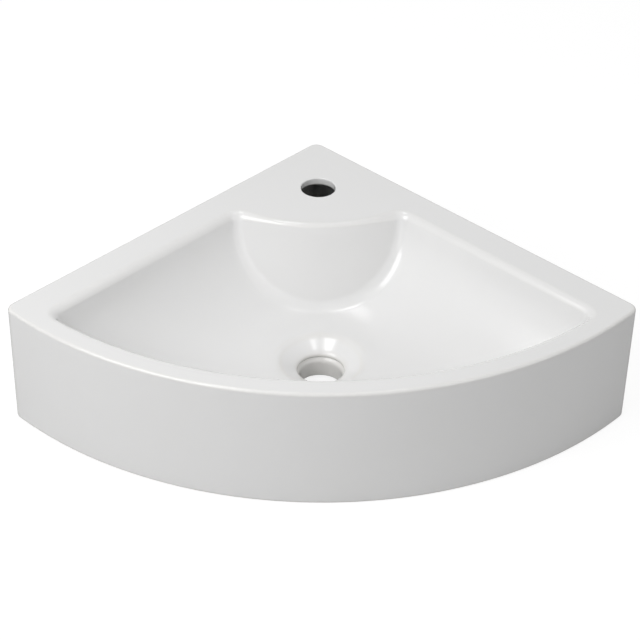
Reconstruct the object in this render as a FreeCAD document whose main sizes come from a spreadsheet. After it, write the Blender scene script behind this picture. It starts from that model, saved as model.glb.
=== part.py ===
"""Corner basin: one glazed casting that hangs in the corner of a room on two wall bolts.

Millimetres, +Z up.  The two wall edges run from the corner of the room, and the bowed front faces
-Y.  The model stands on the bottom rim of its skirt, with its origin under the middle of its
outline.
"""
import FreeCAD, Part
import math
import os

import Sketcher

Vec = FreeCAD.Vector

# Driving sizes.  Each one can be changed by itself.
SIZES = {
    # outline of the casting
    "wall_edge": 420.0,          # corner of the room to a side corner, before rounding
    "front_radius": 400.0,
    "basin_height": 127.0,
    "apex_round": 10.0,          # upright edge in the corner of the room
    "side_round": 10.0,          # upright edges at both ends of the front
    "edge_bevel": 3.0,           # top edge of the skirt
    "foot_bevel": 2.0,           # bottom edge of the skirt
    # thickness of the casting
    "back_wall": 11.0,
    "skirt_wall": 9.0,
    "deck_wall": 9.0,
    "bowl_wall": 9.0,
    # tap deck and the apron that falls from it
    "deck_radius": 158.0,
    "apron_lean": 16.7,
    "tap_reach": 90.0,           # corner to the tap hole
    "tap_bore": 35.0,
    "tap_bevel": 1.0,
    # bowl
    "bowl_depth": 86.0,
    "slope_radius": 103.0,       # the hollow sides that fall from the walls
    "slope_foot": 139.0,         # wall to the foot of a side
    "floor_fall": 3.0,
    "front_rim": 24.0,
    "front_draft": 10.0,
    "cove_radius": 45.0,
    "crease_round": 6.0,
    "tip_round": 12.0,
    "lip_round": 7.0,
    # drain
    "drain_reach": 266.0,        # corner to the waste hole
    "waste_bore": 45.0,
    "waste_lip": 3.0,
    "recess_radius": 38.0,
    "recess_depth": 6.5,
    "throat_length": 27.0,
    "boss_wall": 12.0,
    "boss_flare": 9.0,
    # wall fixings
    "fixing_reach": 205.0,       # corner to a fixing hole, along the wall
    "fixing_drop": 78.0,         # rim to a fixing hole
    "fixing_bore": 16.0,
    "pad_diameter": 42.0,
    "pad_rise": 3.0,
    "bolt_diameter": 8.0,
    "bolt_embed": 50.0,          # length inside the plug
    "bolt_tail": 9.0,            # thread that shows past the nut
    "bolt_point": 6.0,           # length of the taper in the wall
    "bolt_tip": 5.0,             # diameter where the taper ends
    "bolt_bevel": 1.0,
    "plug_diameter": 12.0,
    "plug_length": 55.0,
    "plug_nose": 1.5,            # bevel at the far end
    "split_width": 1.6,
    "split_length": 33.0,
    "plug_fit": 0.15,            # gap between plug and bolt
    "bush_setback": 1.5,         # wall face to the end of the bush
    "bush_fit": 0.25,            # gap between bush and fixing hole
    "shank_fit": 0.3,            # gap between bush or washer and bolt
    "flange_diameter": 26.0,
    "flange_thickness": 3.0,
    "washer_diameter": 24.0,
    "washer_thickness": 2.0,
    "nut_flats": 13.0,
    "nut_thickness": 6.5,
    "nut_fit": 0.12,             # gap between nut and bolt
}

OVER = 20.0                      # how far a cutting shape runs past the casting
REACH = 900.0                    # further off than any point of the basin
EDGE_GAP = 0.05                  # furthest that a named edge may lie from its point
LEVEL_GAP = 0.0001               # furthest that a level face may lie from its height
LEVEL_NORMAL = 0.999             # least upward part of a level face's normal

# Places that follow from the sizes, as formulas on the sheet
FRONT_CENTRE = "(-Sizes.wall_edge / sqrt(2) + sqrt(Sizes.front_radius ^ 2 - Sizes.wall_edge ^ 2 / 2))"
LOW_POINT = ("(Sizes.basin_height - Sizes.bowl_depth"
             " - (Sizes.drain_reach / sqrt(2) - Sizes.slope_foot) * tan(Sizes.floor_fall))")
BORE_TOP = f"({LOW_POINT} - Sizes.recess_depth)"
APEX_INSET = "(Sizes.apex_round * (sqrt(2) - 1))"
MIDDLE = f"((Sizes.front_radius - {FRONT_CENTRE} + {APEX_INSET}) / 2)"
PAD_FACE = "(Sizes.back_wall + Sizes.pad_rise)"
FLANGE_FACE = f"({PAD_FACE} + Sizes.flange_thickness)"
WASHER_FACE = f"({FLANGE_FACE} + Sizes.washer_thickness)"
NUT_FACE = f"({WASHER_FACE} + Sizes.nut_thickness)"

FINISHING = {"Fillet": "Radius", "Chamfer": "Size"}

UPRIGHT = FreeCAD.Rotation(Vec(1, 0, 0), Vec(0, 0, 1), Vec(0, -1, 0), "XYZ")
ACROSS_WALL = FreeCAD.Rotation(Vec(1, -1, 0), Vec(0, 0, 1), Vec(-1, -1, 0), "XYZ")
OFF_LEFT_WALL = FreeCAD.Rotation(Vec(0, 0, 1), Vec(1, -1, 0))


class Model:
    """The document, its sheet of sizes, and short ways to add to it."""

    def __init__(self):
        self.doc = FreeCAD.newDocument("CornerBasin")
        self.sheet = self.doc.addObject("Spreadsheet::Sheet", "Sizes")
        for row, (name, value) in enumerate(SIZES.items(), start=1):
            self.sheet.set(f"A{row}", str(value))
            self.sheet.setAlias(f"A{row}", name)
        self.doc.recompute()

    def value(self, formula):
        """The present value of a formula on the sheet."""
        found = self.sheet.evalExpression(formula.replace("Sizes.", ""))
        return float(getattr(found, "Value", found))

    def add(self, kind, name, formulas=None, **values):
        """Add a shape whose named properties are plain values or formulas."""
        item = self.doc.addObject(kind, name)
        for key, value in values.items():
            setattr(item, key, value)
        for key, formula in (formulas or {}).items():
            item.setExpression(key, formula)
        return item

    def extrude(self, sketch, length, both_ways=False):
        return self.add("Part::Extrusion", sketch.Name + "_run", {"LengthFwd": str(length)},
                        Base=sketch, DirMode="Normal", Symmetric=both_ways, Solid=True)

    def revolve(self, sketch, centre=None):
        """Turn an upright profile about the Z axis, then move its axis to centre along Y."""
        item = self.add("Part::Revolution", sketch.Name + "_turn", Source=sketch,
                        Axis=Vec(0, 0, 1), Base=Vec(0, 0, 0), Angle=360.0, Solid=True)
        if centre:
            item.setExpression("Placement.Base.y", centre)
        return item

    def mirror(self, item):
        return self.add("Part::Mirroring", item.Name + "_twin", Source=item,
                        Base=Vec(0, 0, 0), Normal=Vec(1, 0, 0))

    def fuse(self, name, *items):
        return self.add("Part::MultiFuse", name, Shapes=list(items))

    def cut(self, name, base, tool):
        return self.add("Part::Cut", name, Base=base, Tool=tool)


class Profile:
    """A sketch whose dimensions are bound to formulas on the sheet."""

    def __init__(self, model, name, rotation=None, body=None):
        self.model = model
        if body:
            self.item = body.newObject("Sketcher::SketchObject", name)
            origin_planes = {face.Role: face for face in body.Origin.OriginFeatures}
            self.item.AttachmentSupport = (origin_planes["XZ_Plane"], [""])
            self.item.MapMode = "FlatFace"
        else:
            self.item = model.doc.addObject("Sketcher::SketchObject", name)
            self.item.Placement = FreeCAD.Placement(Vec(0, 0, 0), rotation or FreeCAD.Rotation())

    def line(self, start, end):
        return self.item.addGeometry(Part.LineSegment(Vec(*start, 0), Vec(*end, 0)))

    def arc(self, centre, radius, start_angle, end_angle):
        circle = Part.Circle(Vec(*centre, 0), Vec(0, 0, 1), radius)
        ends = [math.radians(start_angle), math.radians(end_angle)]
        return self.item.addGeometry(Part.ArcOfCircle(circle, *ends))

    def fix(self, kind, *places):
        self.item.addConstraint(Sketcher.Constraint(kind, *places))

    def join(self, *lines):
        """Make each line start where the one before it ends."""
        for first, second in zip(lines, lines[1:]):
            self.fix("Coincident", first, 2, second, 1)

    def bind(self, kind, *places, to):
        """Add a dimension at its present value and bind it to a formula."""
        value = self.model.value(to)
        if kind == "Angle":
            value = math.radians(value)
        index = self.item.addConstraint(Sketcher.Constraint(kind, *places, value))
        self.item.setExpression(f"Constraints[{index}]", to)

    def place(self, line, end, across, up):
        """Set how far an end of a line lies across and up from the origin."""
        self.bind("DistanceX", -1, 1, line, end, to=across)
        self.bind("DistanceY", -1, 1, line, end, to=up)

    def polygon(self, corners):
        """Draw a closed outline whose corners are given as formulas, across and up."""
        spots = [(self.model.value(across), self.model.value(up)) for across, up in corners]
        lines = [self.line(spots[i - 1], spots[i]) for i in range(len(spots))]
        self.join(*lines, lines[0])
        for line, (across, up) in zip(lines, corners):
            self.place(line, 2, across, up)
        return lines


def wedge(model, name, back_inset, front_inset):
    """Plan outline between the two walls and the bowed front, drawn in from both."""
    plan = Profile(model, name)
    apex = -math.sqrt(2) * model.value(back_inset)
    radius = model.value(f"Sizes.front_radius - {front_inset}")
    centre = model.value(FRONT_CENTRE)
    corner = radius / math.sqrt(2)
    left = plan.line((0, apex), (-corner, centre - corner))
    front = plan.arc((0, centre), radius, 225, 315)
    right = plan.line((corner, centre - corner), (0, apex))
    plan.join(left, front, right, left)
    plan.fix("PointOnObject", left, 1, -2)
    plan.fix("Symmetric", front, 1, front, 2, -2)
    plan.fix("Perpendicular", left, right)
    plan.bind("DistanceY", -1, 1, left, 1, to=f"-sqrt(2) * {back_inset}")
    plan.bind("DistanceY", -1, 1, front, 3, to=FRONT_CENTRE)
    plan.bind("Radius", front, to=f"Sizes.front_radius - {front_inset}")
    return plan.item


def side_profile(model, name, offset):
    """Section through a side of the bowl: a hollow that starts steep and runs out to the floor."""
    side = Profile(model, name, ACROSS_WALL)
    across = model.value("Sizes.slope_foot")
    radius = model.value(f"Sizes.slope_radius + {offset}")
    up = model.value("Sizes.basin_height - Sizes.bowl_depth + Sizes.slope_radius")
    hollow = side.arc((across, up), radius, 180, 270 - model.value("Sizes.floor_fall"))
    floor = side.line((across, up - radius), (REACH, up - radius - OVER))
    far = side.line((REACH, up - radius - OVER), (REACH, up))
    top = side.line((REACH, up), (across - radius, up))
    side.fix("Tangent", hollow, 2, floor, 1)
    side.join(floor, far, top, hollow)
    side.fix("Vertical", far)
    side.fix("Horizontal", top)
    side.fix("Horizontal", hollow, 3, hollow, 1)
    side.bind("Angle", floor, to="-Sizes.floor_fall")
    side.bind("DistanceX", -1, 1, far, 2, to=str(REACH))
    side.bind("Radius", hollow, to=f"Sizes.slope_radius + {offset}")
    side.place(hollow, 3, "Sizes.slope_foot",
               "Sizes.basin_height - Sizes.bowl_depth + Sizes.slope_radius")
    return side.item


def apron_profile(model, name, offset):
    """Section outside the leaning apron that hangs below the edge of the tap deck."""
    edge = f"Sizes.deck_radius - {offset} / cos(Sizes.apron_lean)"
    top = f"Sizes.basin_height + {OVER}"
    apron = Profile(model, name, UPRIGHT)
    apron.polygon([
        (f"{edge} - {OVER} * tan(Sizes.apron_lean)", top),
        (f"{edge} + (Sizes.basin_height + {OVER}) * tan(Sizes.apron_lean)", f"-{OVER}"),
        (str(REACH), f"-{OVER}"),
        (str(REACH), top),
    ])
    return apron.item


def front_wall_at(offset):
    """Radius of the bowl's front wall at the top of its section."""
    return (f"(Sizes.front_radius - Sizes.front_rim + {OVER} * tan(Sizes.front_draft)"
            f" + {offset} / cos(Sizes.front_draft))")


def front_floor_at(offset):
    """Height of the line of the front floor where it would meet the centre of the front."""
    return (f"({LOW_POINT} - (Sizes.drain_reach + {FRONT_CENTRE}) * tan(Sizes.floor_fall)"
            f" - {offset} / cos(Sizes.floor_fall))")


def front_profile(model, name):
    """Section through the front of the bowl: steep wall, cove, and floor rising from the drain."""
    wall_at = front_wall_at("0")
    floor_at = front_floor_at("0")
    top_up = model.value(f"Sizes.basin_height + {OVER}")
    wall_x = model.value(wall_at)
    floor_y = model.value(floor_at)
    radius = model.value("Sizes.cove_radius")
    fall = model.value("Sizes.floor_fall")
    draft = model.value("Sizes.front_draft")
    centre = (wall_x - radius - OVER, floor_y + radius + OVER)
    front = Profile(model, name, UPRIGHT)
    cove = front.arc(centre, radius, 270 + fall, 360 - draft)
    wall = front.line((wall_x, top_up), (wall_x - OVER, centre[1]))
    floor = front.line((centre[0], floor_y + OVER), (0, floor_y))
    axis = front.line((0, floor_y), (0, top_up))
    top = front.line((0, top_up), (wall_x, top_up))
    front.fix("Tangent", floor, 1, cove, 1)
    front.fix("Tangent", wall, 2, cove, 2)
    front.join(floor, axis, top, wall)
    front.fix("PointOnObject", axis, 1, -2)
    front.fix("Vertical", axis)
    front.fix("Horizontal", top)
    front.place(wall, 1, wall_at, f"Sizes.basin_height + {OVER}")
    front.bind("DistanceY", -1, 1, axis, 1, to=floor_at)
    front.bind("Radius", cove, to="Sizes.cove_radius")
    front.bind("Angle", wall, to="-90 - Sizes.front_draft")
    front.bind("Angle", floor, to="Sizes.floor_fall - 180")
    return front.item


def front_shell_profile(model, name, offset):
    """Section of the underside at the front: one slant touches the offset cove at its middle."""
    wall = front_wall_at(offset)
    floor = front_floor_at(offset)
    top = f"(Sizes.basin_height + {OVER})"
    radius = f"(Sizes.cove_radius + {offset})"
    across = (f"(({wall} - ({top} - {floor} - {radius} / cos(Sizes.floor_fall)) * tan(Sizes.front_draft)"
              f" - {radius} / cos(Sizes.front_draft))"
              " / (1 - tan(Sizes.floor_fall) * tan(Sizes.front_draft)))")
    up = f"({floor} + {across} * tan(Sizes.floor_fall) + {radius} / cos(Sizes.floor_fall))"
    swing = "((90 - Sizes.front_draft - Sizes.floor_fall) / 4)"
    front = Profile(model, name, UPRIGHT)
    front.polygon([
        ("0", floor),
        (f"{across} + {radius} / cos({swing}) * sin(Sizes.floor_fall + {swing})",
         f"{up} - {radius} / cos({swing}) * cos(Sizes.floor_fall + {swing})"),
        (f"{across} + {radius} / cos({swing}) * cos(Sizes.front_draft + {swing})",
         f"{up} - {radius} / cos({swing}) * sin(Sizes.front_draft + {swing})"),
        (wall, top),
        ("0", top),
    ])
    return front.item


def drain_profile(model):
    """Section of the waste hole: bore, rounded lip, and the funnel of the recess round it."""
    bore = model.value("Sizes.waste_bore / 2")
    lip = model.value("Sizes.waste_lip")
    bore_top = model.value(BORE_TOP)
    low = model.value(LOW_POINT)
    recess = model.value("Sizes.recess_radius")
    slope = math.degrees(math.atan2(low - bore_top, recess - bore - lip))
    drain = Profile(model, "drain_section", UPRIGHT)
    base = drain.line((0, -OVER), (bore, -OVER))
    wall = drain.line((bore, -OVER), (bore, bore_top - lip))
    round_lip = drain.arc((bore + lip, bore_top - lip), lip, 90 + slope, 180)
    funnel = drain.line((bore + lip, bore_top), (recess + lip, low + lip))
    top = drain.line((recess + lip, low + lip), (0, low + lip))
    axis = drain.line((0, low + lip), (0, -OVER))
    edge = drain.item.addGeometry(Part.Point(Vec(recess, low, 0)), True)
    drain.join(funnel, top, axis, base, wall)
    drain.fix("Tangent", wall, 2, round_lip, 2)
    drain.fix("Tangent", round_lip, 1, funnel, 1)
    drain.fix("Horizontal", base)
    drain.fix("Vertical", wall)
    drain.fix("Horizontal", top)
    drain.fix("PointOnObject", axis, 1, -2)
    drain.fix("PointOnObject", axis, 2, -2)
    drain.fix("PointOnObject", edge, 1, funnel)
    drain.place(edge, 1, "Sizes.recess_radius", LOW_POINT)
    drain.place(wall, 1, "Sizes.waste_bore / 2", str(-OVER))
    drain.bind("DistanceY", -1, 1, top, 1, to=f"{LOW_POINT} + Sizes.waste_lip")
    drain.bind("DistanceY", -1, 1, round_lip, 3, to=f"{BORE_TOP} - Sizes.waste_lip")
    drain.bind("Radius", round_lip, to="Sizes.waste_lip")
    return drain.item


def bowl(model, name, front_section, offset="0"):
    """The space of the bowl, or with an offset the casting's underside round it."""
    left = model.extrude(side_profile(model, name + "_side", offset), 2 * REACH, both_ways=True)
    right = model.mirror(left)
    apron = model.revolve(apron_profile(model, name + "_apron", offset))
    front = model.revolve(front_section, FRONT_CENTRE)
    return model.add("Part::MultiCommon", name, Shapes=[left, right, apron, front])


def edges_through(shape, points):
    """Names of the edges of a shape that pass through the given points."""
    names = []
    for point in points:
        spot = Part.Vertex(point)
        gaps = [edge.distToShape(spot)[0] for edge in shape.Edges]
        nearest = min(range(len(gaps)), key=gaps.__getitem__)
        if gaps[nearest] > EDGE_GAP:
            raise ValueError(f"no edge passes through {point}: {gaps[nearest]:.3f} mm off")
        names.append(f"Edge{nearest + 1}")
    return names


class Dressing:
    """A body that takes a raw shape and finishes its edges one set at a time."""

    def __init__(self, model, name, base):
        self.model = model
        self.body = model.doc.addObject("PartDesign::Body", name)
        self.body.BaseFeature = base
        model.doc.recompute()

    def finish(self, kind, name, size, pick):
        """Fillet or chamfer the edges that pick finds on the present shape, by a size on the sheet."""
        before = self.body.Tip
        edges = pick(before.Shape)
        step = self.body.newObject(f"PartDesign::{kind}", name)
        step.Base = (before, edges)
        step.setExpression(FINISHING[kind], f"Sizes.{size}")
        self.model.doc.recompute()


def hollow_at(model, height):
    """Distance from the wall to a side of the bowl at this height."""
    radius = model.value("Sizes.slope_radius")
    centre = model.value("Sizes.basin_height - Sizes.bowl_depth + Sizes.slope_radius")
    return model.value("Sizes.slope_foot") - math.sqrt(radius ** 2 - (centre - height) ** 2)


def crease_points(model):
    """A point on the crease at each side of the apron, half way down the bowl."""
    drop = model.value("Sizes.bowl_depth / 2")
    height = model.value("Sizes.basin_height") - drop
    radius = model.value("Sizes.deck_radius") + drop * model.value("tan(Sizes.apron_lean)")
    angle = math.pi / 4 - math.asin(hollow_at(model, height) / radius)
    across = radius * math.sin(angle)
    along = -radius * math.cos(angle)
    return [Vec(-across, along, height), Vec(across, along, height)]


def tip_points(model):
    """A point on each side tip of the bowl, where a side meets the steep front wall."""
    drop = model.value("Sizes.bowl_depth / 8")
    height = model.value("Sizes.basin_height") - drop
    inset = hollow_at(model, height)
    slant = drop * model.value("tan(Sizes.front_draft)")
    radius = model.value("Sizes.front_radius - Sizes.front_rim") - slant
    centre = model.value(FRONT_CENTRE)
    half = centre / math.sqrt(2)
    run = -half + math.sqrt(half ** 2 - (inset ** 2 + 2 * half * inset + centre ** 2 - radius ** 2))
    across = (run - inset) / math.sqrt(2)
    along = -(run + inset) / math.sqrt(2)
    return [Vec(-across, along, height), Vec(across, along, height)]


def upright_points(model, at_apex):
    """A point half way up the upright edge at the apex, or on those at the side corners."""
    height = model.value("Sizes.basin_height / 2")
    corner = model.value("Sizes.wall_edge / sqrt(2)")
    if at_apex:
        return [Vec(0, 0, height)]
    return [Vec(-corner, -corner, height), Vec(corner, -corner, height)]


def level_face(shape, height, facing):
    """The largest flat face at a height that faces up (+1) or down (-1)."""
    found = []
    for face in shape.Faces:
        normal = face.normalAt(0, 0)
        if normal.z * facing > LEVEL_NORMAL and abs(face.BoundBox.ZMin - height) < LEVEL_GAP:
            found.append(face)
    return max(found, key=lambda face: face.BoundBox.DiagonalLength)


def inner_wire(face, longest):
    """The longest or the shortest wire inside the outline of a face."""
    wires = [wire for wire in face.Wires if not wire.isSame(face.OuterWire)]
    pick = max if longest else min
    return pick(wires, key=lambda wire: wire.Length)


def wire_names(shape, wire):
    """Names of the edges of one wire of a shape."""
    names = []
    for edge in wire.Edges:
        names.extend(f"Edge{i}" for i, other in enumerate(shape.Edges, 1) if edge.isSame(other))
    return names


def bowl_space(model):
    """The bowl and drain as one solid space, with its creases and side tips rounded."""
    space = bowl(model, "bowl_hollow", front_profile(model, "bowl_hollow_front"))
    drain = model.revolve(drain_profile(model), "-Sizes.drain_reach")
    joined = model.fuse("bowl_and_drain", space, drain)
    rounding = Dressing(model, "bowl_space", joined)
    rounding.finish("Fillet", "apron_creases", "crease_round",
                    lambda shape: edges_through(shape, crease_points(model)))
    rounding.finish("Fillet", "side_tips", "tip_round",
                    lambda shape: edges_through(shape, tip_points(model)))
    return rounding.body


def rod(model, name, diameter, start, end):
    """A pair of cylinders square to the walls at the height of the fixing holes."""
    item = model.add("Part::Cylinder", name, {
        "Radius": f"({diameter}) / 2",
        "Height": f"({end}) - ({start})",
        "Placement.Base.x": f"-(Sizes.fixing_reach - ({start})) / sqrt(2)",
        "Placement.Base.y": f"-(Sizes.fixing_reach + ({start})) / sqrt(2)",
        "Placement.Base.z": "Sizes.basin_height - Sizes.fixing_drop",
    })
    item.Placement.Rotation = OFF_LEFT_WALL
    return [item, model.mirror(item)]


def underside(model):
    """The hollow below the deck, round the bowl's outer face, the drain boss and the wall pads."""
    core = model.extrude(wedge(model, "core_plan", "Sizes.back_wall", "Sizes.skirt_wall"),
                         "Sizes.basin_height - Sizes.deck_wall")
    core.LengthRev = OVER
    shell = bowl(model, "bowl_shell",
                 front_shell_profile(model, "bowl_shell_front", "Sizes.bowl_wall"), "Sizes.bowl_wall")
    boss = model.add("Part::Cone", "drain_boss", {
        "Radius1": "Sizes.waste_bore / 2 + Sizes.boss_wall",
        "Radius2": "Sizes.waste_bore / 2 + Sizes.boss_wall + Sizes.boss_flare",
        "Height": "Sizes.recess_depth + Sizes.throat_length",
        "Placement.Base.y": "-Sizes.drain_reach",
        "Placement.Base.z": f"{BORE_TOP} - Sizes.throat_length",
    })
    pads = rod(model, "pad", "Sizes.pad_diameter", "Sizes.back_wall / 2", PAD_FACE)
    kept = model.fuse("underside_kept", shell, boss, *pads)
    return model.cut("underside", core, kept)


def make_basin(model):
    """The casting: skirt, deck with its tap hole, bowl, drain boss and two fixing holes."""
    block = model.extrude(wedge(model, "block_plan", "0", "0"), "Sizes.basin_height")
    casting = model.cut("hollow_casting", block, underside(model))
    tap_hole = model.add("Part::Cylinder", "tap_hole", {
        "Radius": "Sizes.tap_bore / 2",
        "Height": f"Sizes.deck_wall + 2 * {OVER}",
        "Placement.Base.y": "-Sizes.tap_reach",
        "Placement.Base.z": f"Sizes.basin_height - Sizes.deck_wall - {OVER}",
    })
    holes = rod(model, "fixing_hole", "Sizes.fixing_bore", f"-{OVER}", f"{PAD_FACE} + {OVER}")
    openings = model.fuse("openings", bowl_space(model), tap_hole, *holes)
    raw = model.cut("raw_casting", casting, openings)

    basin = Dressing(model, "basin_body", raw)
    height = model.value("Sizes.basin_height")
    basin.finish("Fillet", "apex_edge", "apex_round",
                 lambda shape: edges_through(shape, upright_points(model, at_apex=True)))
    basin.finish("Fillet", "side_edges", "side_round",
                 lambda shape: edges_through(shape, upright_points(model, at_apex=False)))
    basin.finish("Chamfer", "top_edge", "edge_bevel",
                 lambda shape: wire_names(shape, level_face(shape, height, 1).OuterWire))
    basin.finish("Chamfer", "foot_edge", "foot_bevel",
                 lambda shape: wire_names(shape, level_face(shape, 0.0, -1).OuterWire))
    basin.finish("Fillet", "bowl_lip", "lip_round", lambda shape: wire_names(shape, inner_wire(
        level_face(shape, height, 1), longest=True)))
    basin.finish("Chamfer", "tap_lip", "tap_bevel", lambda shape: wire_names(shape, inner_wire(
        level_face(shape, height, 1), longest=False)))
    return basin.body


def turned(model, name, corners):
    """A body turned about its own Z axis from an outline given as formulas, across and up."""
    body = model.doc.addObject("PartDesign::Body", name)
    section = Profile(model, name + "_section", body=body)
    section.polygon(corners)
    turn = body.newObject("PartDesign::Revolution", name + "_turn")
    turn.Profile = section.item
    turn.ReferenceAxis = (section.item, ["V_Axis"])
    turn.Angle = 360.0
    model.doc.recompute()
    return body


def make_bolt(model, name):
    """Hanger bolt: pointed in the wall, plain through the casting, chamfered at its free end."""
    radius = "Sizes.bolt_diameter / 2"
    end = f"{NUT_FACE} + Sizes.bolt_tail"
    return turned(model, name, [
        ("0", "-Sizes.bolt_embed"),
        ("Sizes.bolt_tip / 2", "-Sizes.bolt_embed"),
        (radius, "-Sizes.bolt_embed + Sizes.bolt_point"),
        (radius, f"{end} - Sizes.bolt_bevel"),
        (f"{radius} - Sizes.bolt_bevel", end),
        ("0", end),
    ])


def make_plug(model, name):
    """Wall plug: sleeve with a blind bore, split from its far end so that it spreads."""
    radius = "Sizes.plug_diameter / 2"
    bore = "(Sizes.bolt_diameter / 2 + Sizes.plug_fit)"
    bore_end = "-(Sizes.bolt_embed + Sizes.plug_fit)"
    body = turned(model, name, [
        ("0", "-Sizes.plug_length"),
        (f"{radius} - Sizes.plug_nose", "-Sizes.plug_length"),
        (radius, "-Sizes.plug_length + Sizes.plug_nose"),
        (radius, "0"),
        (bore, "0"),
        (bore, bore_end),
        ("0", bore_end),
    ])
    gap = Profile(model, name + "_split_section", body=body)
    across = "Sizes.split_width / 2"
    split_end = "-Sizes.plug_length + Sizes.split_length"
    gap.polygon([
        (f"-{across}", f"-Sizes.plug_length - {OVER}"),
        (across, f"-Sizes.plug_length - {OVER}"),
        (across, split_end),
        (f"-{across}", split_end),
    ])
    split = body.newObject("PartDesign::Pocket", name + "_split")
    split.Profile = gap.item
    split.SideType = "Symmetric"
    split.setExpression("Length", "Sizes.plug_diameter * 2")
    model.doc.recompute()
    return body


def make_bush(model, name):
    """Flanged bush: keeps the bolt off the glaze and gives the washer a soft seat."""
    bore = "(Sizes.bolt_diameter / 2 + Sizes.shank_fit)"
    sleeve = "(Sizes.fixing_bore / 2 - Sizes.bush_fit)"
    return turned(model, name, [
        (bore, "Sizes.bush_setback"),
        (sleeve, "Sizes.bush_setback"),
        (sleeve, PAD_FACE),
        ("Sizes.flange_diameter / 2", PAD_FACE),
        ("Sizes.flange_diameter / 2", FLANGE_FACE),
        (bore, FLANGE_FACE),
    ])


def make_washer(model, name):
    """Flat washer between the bush and the nut."""
    bore = "(Sizes.bolt_diameter / 2 + Sizes.shank_fit)"
    return turned(model, name, [
        (bore, FLANGE_FACE),
        ("Sizes.washer_diameter / 2", FLANGE_FACE),
        ("Sizes.washer_diameter / 2", WASHER_FACE),
        (bore, WASHER_FACE),
    ])


def make_nut(model, name):
    """Hexagon nut with a plain bore."""
    blank = model.add("Part::Prism", name + "_blank", {
        "Circumradius": "Sizes.nut_flats / 2 / cos(30)",
        "Height": "Sizes.nut_thickness",
        "Placement.Base.z": WASHER_FACE,
    }, Polygon=6)
    bore = model.add("Part::Cylinder", name + "_bore", {
        "Radius": "Sizes.bolt_diameter / 2 + Sizes.nut_fit",
        "Height": "3 * Sizes.nut_thickness",
        "Placement.Base.z": f"{WASHER_FACE} - Sizes.nut_thickness",
    })
    return model.cut(name, blank, bore)


FASTENERS = {
    "wall_plugs": make_plug,
    "hanger_bolts": make_bolt,
    "flanged_bushes": make_bush,
    "washers": make_washer,
    "hex_nuts": make_nut,
}


def make_pair(model, name, make):
    """A fastener at the left wall and its twin at the right one, as two solids of one sub-part."""
    left = make(model, "left_" + name)
    left.Placement.Rotation = OFF_LEFT_WALL
    left.setExpression("Placement.Base.x", "-Sizes.fixing_reach / sqrt(2)")
    left.setExpression("Placement.Base.y", "-Sizes.fixing_reach / sqrt(2)")
    left.setExpression("Placement.Base.z", "Sizes.basin_height - Sizes.fixing_drop")
    return model.add("Part::Compound", name, Links=[left, model.mirror(left)])


def check(doc, parts):
    """Stop if any object of the document failed, or a sub-part lacks one of its solids."""
    for item in doc.Objects:
        if "Invalid" in item.State or "Error" in item.State:
            raise RuntimeError(f"{item.Name} failed: {item.State}")
    for part, solids in parts.items():
        shape = part.Shape
        if shape.isNull() or not shape.isValid() or len(shape.Solids) != solids:
            raise RuntimeError(f"{part.Label} is not {solids} sound solids")
        print(f"{part.Label}: {solids} solids, {shape.Volume / 1000:.1f} cm3, {len(shape.Faces)} faces")


def main():
    model = Model()
    parts = {make_basin(model): 1}
    for name, make in FASTENERS.items():
        parts[make_pair(model, name, make)] = 2
    for part in parts:
        part.setExpression("Placement.Base.y", MIDDLE)
    model.doc.recompute()
    check(model.doc, parts)
    os.makedirs("parts", exist_ok=True)
    for part in parts:
        part.Shape.exportStep(f"parts/{part.Label}.step")


main()
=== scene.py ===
"""Dressing of a corner basin: one glazed casting and the two wall fixings that carry it.

The casting is worked out in millimetres from the corner of the room, where both wall edges meet,
with the basin towards -Y.  Its mesh is laid ray by ray round the waste hole, then put in the row's
own place in metres.
"""

import logging
import math
from dataclasses import dataclass, field
from enum import Enum
from typing import Optional, Sequence

import bpy
import numpy as np
from mathutils import Matrix, Vector


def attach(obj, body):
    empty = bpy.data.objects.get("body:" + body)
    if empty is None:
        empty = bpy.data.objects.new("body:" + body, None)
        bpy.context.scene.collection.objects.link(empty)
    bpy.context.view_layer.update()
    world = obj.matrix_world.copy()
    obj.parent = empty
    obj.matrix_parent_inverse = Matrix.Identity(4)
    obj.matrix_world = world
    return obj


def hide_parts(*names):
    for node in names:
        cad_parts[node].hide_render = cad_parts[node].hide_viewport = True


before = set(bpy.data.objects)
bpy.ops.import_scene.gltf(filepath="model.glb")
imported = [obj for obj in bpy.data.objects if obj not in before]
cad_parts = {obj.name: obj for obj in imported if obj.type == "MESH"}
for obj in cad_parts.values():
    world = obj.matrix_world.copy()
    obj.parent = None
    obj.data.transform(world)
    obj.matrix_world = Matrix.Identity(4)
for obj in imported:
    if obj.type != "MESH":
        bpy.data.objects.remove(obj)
log = logging.getLogger("basin")

MM = 0.001
CORNER_Y = 216.586               # corner of the room on the row's Y axis
NEAR = 0.01                      # half the span over which a slope is measured
Section = list[tuple[float, float]]
Array = np.ndarray
Piece = bpy.types.Object
Material = bpy.types.Material
Socket = bpy.types.NodeSocket


class Side(Enum):
    """The wall that a fixing is in, as the sign of its X."""

    LEFT = -1
    RIGHT = 1


class Cut(Enum):
    """What a Boolean leaves of a piece."""

    OUTSIDE = "DIFFERENCE"
    INSIDE = "INTERSECT"


# --- small helpers on Blender's operators ---


def clear_selection() -> None:
    """Leave edit mode and deselect every object."""
    if bpy.context.object and bpy.context.object.mode != "OBJECT":
        bpy.ops.object.mode_set(mode="OBJECT")
    bpy.ops.object.select_all(action="DESELECT")


def activate(piece: Piece) -> None:
    """Make a piece the only selected and active object."""
    clear_selection()
    piece.select_set(True)
    bpy.context.view_layer.objects.active = piece


def settle(piece: Piece) -> None:
    """Write a piece's place into its mesh, so that its object sits at the origin."""
    activate(piece)
    bpy.ops.object.transform_apply(location=True, rotation=True, scale=True)


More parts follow.
